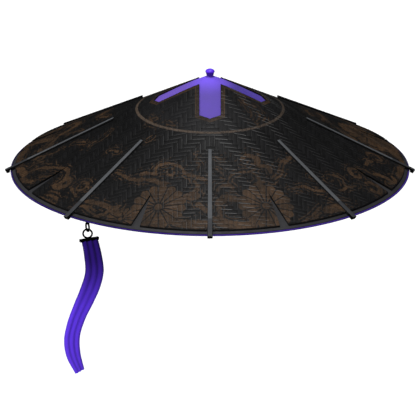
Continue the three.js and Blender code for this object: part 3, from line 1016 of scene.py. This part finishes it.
def strip_material(name, lengthwise):
    """Black lacquer over split wood, with worn brown painting, a painted highlight along one edge of each
    strip and painted shade along the other.
    """
    material, graph = new_material(name)
    place = graph.object_place()
    in_mm = graph.scaled_vector(place, 1 / MM)
    wear = graph.wear(place, 40.0, 700.0)
    borders = graph.group("Painted borders", {"Place": in_mm})
    cracks = graph.fall(graph.off(graph.noise(place, 130.0, 3.0, 0.6), 0.5), 0.008, 0.026)
    painted = graph.most(
        graph.times(painted_flowers(graph, in_mm), graph.scaled(cracks, -0.4, 1.0)),
        graph.times(painted_strokes(graph, place), graph.scaled(cracks, -0.7, 1.0)),
        borders["Frame"],
    )
    on_top = graph.fall(graph.attribute("foot"), 0.05, 0.3)
    painted = graph.times(painted, graph.scaled(wear, -0.45, 1.0), on_top)
    flecks = graph.rise(graph.noise(place, 500.0, 3.0, 0.6), 0.36, 0.56, 0.4, 1.0)
    right_fade = graph.rise(graph.parts(in_mm)["X"], 10.0, 90.0, 1.0, 0.65)
    ring = graph.times(borders["Ring"], flecks, right_fade, on_top)
    off_crown = graph.rise(plan_reach(graph, in_mm), *CROWN_FADE)
    # Masks of the painted highlight and painted shade along the strip edges
    edge_highlight, shaded = painted_edge_light(graph, place, in_mm, lengthwise, off_crown)
    fine, long = 600.0, 60.0
    grain_scale = (fine, long, long) if lengthwise else (long, fine, long)
    stretched = graph.add("ShaderNodeMapping", {"Vector": place, "Scale": grain_scale}).outputs["Vector"]
    grain = graph.noise(stretched, 1.0, 3.0, 0.6)
    grain_share = graph.rise(grain, 0.3, 0.7)
    # The side-to-side strips get a darker black than the front-to-back ones: painted shade for the light
    # that the two directions catch differently
    lacquer = srgb(25, 25, 26) if lengthwise else srgb(21, 21, 22)
    skirt_black = graph.blend(grain_share, lacquer, srgb(14, 14, 14))
    crown_black = graph.blend(grain_share, srgb(31, 31, 32), srgb(20, 20, 21))
    colour = graph.blend(off_crown, crown_black, skirt_black)
    colour = graph.blend(painted, colour, graph.blend(wear, srgb(75, 56, 39), srgb(55, 42, 30)))
    colour = graph.blend(ring, colour, srgb(81, 69, 59))
    # Painted shade along one edge of each strip, then a painted highlight along the other
    colour = graph.blend(shaded, colour, srgb(8, 8, 8))
    colour = graph.blend(edge_highlight, colour, srgb(108, 108, 108))
    finish(graph, colour, wear, (0.45, 0.6), (grain, 0.00012, 0.6), Specular_IOR_Level=0.13)
    return material


def worn_material(name, light, dark, rough, specular, patch=50.0, relief=0.00008):
    """Lacquer or blackened metal in two shades, unevenly worn."""
    material, graph = new_material(name)
    wear = graph.wear(graph.object_place(), patch)
    colour = graph.blend(wear, light, dark)
    finish(graph, colour, wear, rough, (wear, relief, 0.4), Specular_IOR_Level=specular)
    return material


def finish_cloth(graph, place, threads, light, dark):
    """Gives a cloth its plain weave, its two shades and a soft sheen."""
    weave = graph.group("Plain weave", {"Place": place, "Threads": threads})
    shade = graph.math("ADD", graph.times(weave["Shade"], 0.5), graph.times(weave["Height"], 0.5))
    finish(
        graph,
        graph.blend(shade, dark, light),
        weave["Shade"],
        (0.6, 0.75),
        (weave["Height"], 0.0001, 0.5),
        Sheen_Weight=0.05,
        Sheen_Roughness=0.4,
        Specular_IOR_Level=0.2,
    )


# Violets of the lining, each as a light and a dark thread. The apex violet is a painted highlight, the left
# arm's is painted light, the right arm's is painted shade, and the hem behind is in painted shade.
LINING_APEX_HIGHLIGHT = (srgb(127, 95, 246), srgb(115, 84, 230))
LINING_FRONT_ARM = (srgb(98, 77, 178), srgb(88, 68, 162))
LINING_LEFT_ARM_LIT = (srgb(108, 82, 186), srgb(98, 74, 170))
LINING_RIGHT_ARM_SHADED = (srgb(80, 62, 164), srgb(71, 54, 150))
HEM_LEFT = (srgb(43, 21, 110), srgb(34, 15, 90))
HEM_RIGHT = (srgb(64, 36, 146), srgb(54, 29, 126))
HEM_BEHIND_SHADED = (srgb(30, 17, 70), srgb(24, 13, 58))


def lining_material():
    """Violet cloth with a painted highlight at the apex, painted light on the left arm and painted shade on
    the right arm, and a dark hem with painted shade behind.
    """
    material, graph = new_material("lining_violet_cloth")
    place = graph.object_place()
    plan = graph.parts(place)
    reach = plan_reach(graph, place)
    # Painted highlight at the apex, fading outwards
    from_apex = graph.rise(reach, 4 * MM, ARM_TIP / 2 * MM)
    # Painted light on the left arm and painted shade on the right arm
    left_arm = graph.fall(plan["X"], -0.03, -0.012)
    right_arm = graph.rise(plan["X"], 0.012, 0.03)
    right = graph.rise(plan["X"], -0.16, 0.1)
    # Painted shade on the hem behind
    behind = graph.rise(plan["Y"], -0.03, 0.04)
    hem = graph.rise(reach, (HEM_CENTRE[0] - 2.0) * MM, (HEM_CENTRE[0] - 1.4) * MM)
    threads = []
    for k in (0, 1):
        arm = graph.blend(left_arm, LINING_FRONT_ARM[k], LINING_LEFT_ARM_LIT[k])
        arm = graph.blend(right_arm, arm, LINING_RIGHT_ARM_SHADED[k])
        cone = graph.blend(from_apex, LINING_APEX_HIGHLIGHT[k], arm)
        rolled = graph.blend(behind, graph.blend(right, HEM_LEFT[k], HEM_RIGHT[k]), HEM_BEHIND_SHADED[k])
        threads.append(graph.blend(hem, cone, rolled))
    finish_cloth(graph, place, 600.0, *threads)
    return material


def ribbon_material():
    """Violet silk, with painted shade at its top, under the brim, and painted shade in the grooves between
    its pleats.
    """
    material, graph = new_material("ribbon_violet_silk")
    down = graph.attribute("down")
    # Painted shade: darker at the top, where the brim shades the ribbon
    lower = graph.rise(down, 0.1, 0.62)
    # Painted shade in the grooves between the pleats, fading lower down
    groove = graph.rise(graph.attribute("groove"), 0.5, 1.0)
    groove = graph.times(groove, graph.rise(down, 0.1, 0.6, 0.75, 0.12))
    light = graph.blend(lower, srgb(52, 27, 132), srgb(107, 64, 250))
    dark = graph.blend(lower, srgb(46, 23, 120), srgb(101, 59, 238))
    light = graph.blend(groove, light, srgb(36, 20, 92))
    dark = graph.blend(groove, dark, srgb(32, 17, 84))
    finish_cloth(graph, graph.object_place(), 700.0, light, dark)
    return material


def knob_material():
    """Violet lacquer, with painted shade on the neck under the cap."""
    material, graph = new_material("knob_violet_lacquer")
    place = graph.object_place()
    rim = KNOB_RIM[1] - SEAT_HEIGHT
    # Painted shade on the neck, below the cap
    cap = graph.rise(graph.parts(place)["Z"], (rim - 0.9) * MM, (rim + 0.5) * MM)
    wear = graph.wear(place)
    violet = graph.blend(wear, srgb(104, 48, 246), srgb(91, 40, 232))
    colour = graph.blend(cap, srgb(58, 30, 140), violet)
    finish(graph, colour, wear, (0.35, 0.5), (wear, 0.00008, 0.4))
    return material


def rib_material():
    """Grey lacquer on the top of a rib, a darker grey on its outer part, and painted shade on its sides,
    going near-black towards the tip.
    """
    material, graph = new_material("rib_grey_lacquer")
    place = graph.object_place()
    reach = plan_reach(graph, place)
    outer_part = graph.rise(reach, (RIB_DARKER_RADIUS - 0.5) * MM, (RIB_DARKER_RADIUS + 0.5) * MM)
    tip = graph.rise(reach, (RIB_HOOK_RADIUS - 4.0) * MM, (RIB_HOOK_RADIUS - 2.0) * MM)
    # Painted shade: faces that don't look upwards, the rib's sides and end, get a dark colour
    normal = graph.add("ShaderNodeNewGeometry", {}).outputs["Normal"]
    top = graph.rise(graph.parts(normal)["Z"], 0.55, 0.8)
    wear = graph.wear(place, 60.0, 1200.0)
    inner = graph.blend(wear, srgb(83, 85, 88), srgb(76, 78, 81))
    outer = graph.blend(wear, srgb(57, 58, 61), srgb(50, 51, 54))
    side = graph.blend(tip, srgb(30, 30, 31), srgb(9, 9, 9))
    colour = graph.blend(top, side, graph.blend(outer_part, inner, outer))
    finish(graph, colour, wear, (0.45, 0.6), (wear, 0.00006, 0.4), Specular_IOR_Level=0.15)
    return material


# Stage, in metres

CAMERA_ELEVATION = math.radians(19)
CAMERA_DISTANCE = 2.5
CAMERA_WIDTH = 0.5269
VIEW_CENTRE_HEIGHT = -0.167
FLOOR_HEIGHT = -1.7
FLOOR_HALF_SIZE = 30


def make_camera():
    """An orthographic camera in front of the hat and above it, at the photograph's angle."""
    data = bpy.data.cameras.new("camera")
    data.type = "ORTHO"
    data.ortho_scale = CAMERA_WIDTH
    data.clip_end = 50
    camera = bpy.data.objects.new("camera", data)
    backwards = Vector((0, -math.cos(CAMERA_ELEVATION), math.sin(CAMERA_ELEVATION)))
    camera.location = Vector((0, 0, VIEW_CENTRE_HEIGHT)) + backwards * CAMERA_DISTANCE
    camera.rotation_euler = (math.pi / 2 - CAMERA_ELEVATION, 0, 0)
    bpy.context.scene.collection.objects.link(camera)
    bpy.context.scene.camera = camera


def make_floor():
    """A plain pale floor at the wearer's feet, which throws no light back on the hat."""
    bm = bmesh.new()
    bmesh.ops.create_grid(bm, x_segments=1, y_segments=1, size=FLOOR_HALF_SIZE)
    bmesh.ops.translate(bm, vec=(0, 0, FLOOR_HEIGHT), verts=bm.verts)
    material, graph = new_material("floor_white")
    graph.shader.inputs["Base Color"].default_value = (0.95, 0.95, 0.95, 1)
    graph.shader.inputs["Roughness"].default_value = 0.9
    floor = new_object("floor", bm, material)
    floor.visible_diffuse = False
    floor.visible_glossy = False


def add_lamp(name, kind, place, towards, energy, glossy=True):
    """A lamp whose light comes from the given direction. A fill lamp adds no gloss."""
    data = bpy.data.lights.new(name, kind)
    data.energy = energy
    lamp = bpy.data.objects.new(name, data)
    lamp.location = place
    lamp.rotation_euler = Vector(towards).to_track_quat("Z", "Y").to_euler()
    lamp.visible_camera = False
    lamp.visible_glossy = glossy
    bpy.context.scene.collection.objects.link(lamp)
    return data


def make_lights():
    """A soft key overhead, a fill from the left, a low softbox in front and a surround, paler above."""
    add_lamp("key", "SUN", (0, 0, 1), (0, -0.03, 1), 1.9).angle = math.radians(20)
    add_lamp("side_fill", "SUN", (-1, 0, 1), (-0.75, 0, 0.66), 1.1, glossy=False).angle = math.radians(40)
    add_lamp("low_softbox", "AREA", (-0.3, -2.2, -0.9), (-0.1, -0.92, -0.38), 30.0, glossy=False).size = 1.6
    world = bpy.data.worlds.new("surround")
    bpy.context.scene.world = world
    world.use_nodes = True
    graph = Graph(world.node_tree)
    direction = graph.add("ShaderNodeTexCoord", {}).outputs["Generated"]
    strength = graph.rise(graph.parts(direction)["Z"], 0.0, 1.0, 0.14, 0.5)
    glossy = graph.add("ShaderNodeLightPath", {}).outputs["Is Glossy Ray"]
    background = world.node_tree.nodes["Background"]
    background.inputs["Color"].default_value = (1, 1, 1, 1)
    graph.give(background.inputs["Strength"], graph.times(strength, graph.scaled(glossy, -0.95, 1.0)))
    bpy.context.scene.view_settings.view_transform = "Standard"
    bpy.context.scene.view_settings.look = "None"


# Assembly

make_camera()
make_floor()
make_lights()

make_flower_group()
make_border_group()
make_cloth_group()
make_wear_group()

wall_black = worn_material(
    "cover_wall_lacquer", srgb(14, 14, 14), srgb(24, 23, 22), (0.5, 0.7), 0.25, patch=60.0, relief=0.0001
)
piece("cover_wall", cover_base(), wall_black, "lacquered_weave", "woven_cover")
for label, lengthwise in (("strips_front_to_back", True), ("strips_side_to_side", False)):
    strips = piece(
        label,
        plaited_strips(lengthwise),
        strip_material(label + "_lacquer", lengthwise),
        "lacquered_weave",
        "woven_cover",
        crisp_angle=50,
    )
    add_paint(strips)

lining = piece("cloth_lining", lining_body(), lining_material(), "lining_cloth", "lining")
band_grey = worn_material("band_grey", srgb(54, 54, 56), srgb(46, 46, 48), (0.45, 0.6), 0.1)
piece("grey_band", band_body(), band_grey, "band_board", "under_band")
rib_grey = rib_material()
for number in range(RIB_COUNT):
    piece(
        f"lacquered_rib_{number + 1}",
        rib_body(number * math.tau / RIB_COUNT - math.pi / 2),
        rib_grey,
        "rib_lacquer",
        f"rib_{number + 1}",
    )
piece("turned_knob", knob_body(), knob_material(), "knob_lacquer", "knob")

iron = worn_material("blackened_iron", srgb(8, 8, 8), srgb(4, 4, 4), (0.5, 0.65), 0.08)
piece("wire_ring", upper_ring_body(), iron, "black_iron", "upper_ring")
piece("ring_and_bar", clamp_body(), iron, "black_iron", "clamp_bar")
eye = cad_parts["rim_eye"]
eye.data.materials.clear()
eye.data.materials.append(iron)

ribbon = piece("pleated_ribbon", ribbon_body(), ribbon_material(), "ribbon_cloth", "ribbon")
